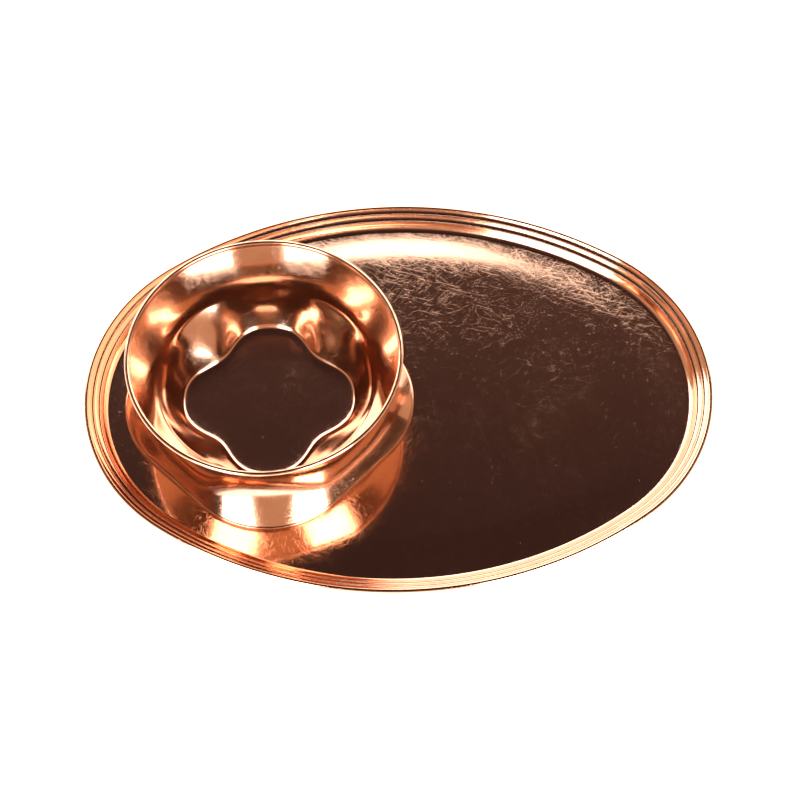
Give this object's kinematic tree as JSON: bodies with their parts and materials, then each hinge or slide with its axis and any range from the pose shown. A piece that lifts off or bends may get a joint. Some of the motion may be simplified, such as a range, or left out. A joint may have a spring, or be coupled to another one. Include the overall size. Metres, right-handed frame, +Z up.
{
  "type": "offering plate",
  "caption": "Oval copper offering tray with a moulded, rolled border, and a loose footed bowl with a dented, four-lobed wall standing at one end.",
  "frame": {"origin": "middle of the oval tray, on its underside, the surface it stands on", "axes": "+X along the tray's long axis, away from the bowl's end; +Y across the tray; +Z up"},
  "size_m": [0.356, 0.256, 0.0538],
  "materials": {
    "polished_copper": "polished copper, lightly scratched",
    "copper_wire": "drawn copper wire, polished where it shows",
    "brazing_alloy": "brazed fillet, dressed and polished"
  },
  "bodies": {
    "tray": {"tray_pan": "polished_copper", "tray_edge_wire": "copper_wire"},
    "bowl": {"bowl_cup": "polished_copper", "bowl_rim_wire": "copper_wire", "bowl_foot": "polished_copper", "bowl_foot_wire": "copper_wire", "bowl_seam": "brazing_alloy"}
  },
  "joints": [
    {"name": "bowl_lift", "type": "slide", "parent": "tray", "child": "bowl", "axis": [0, 0, 1], "range_m": [0, 0.12]}
  ]
}
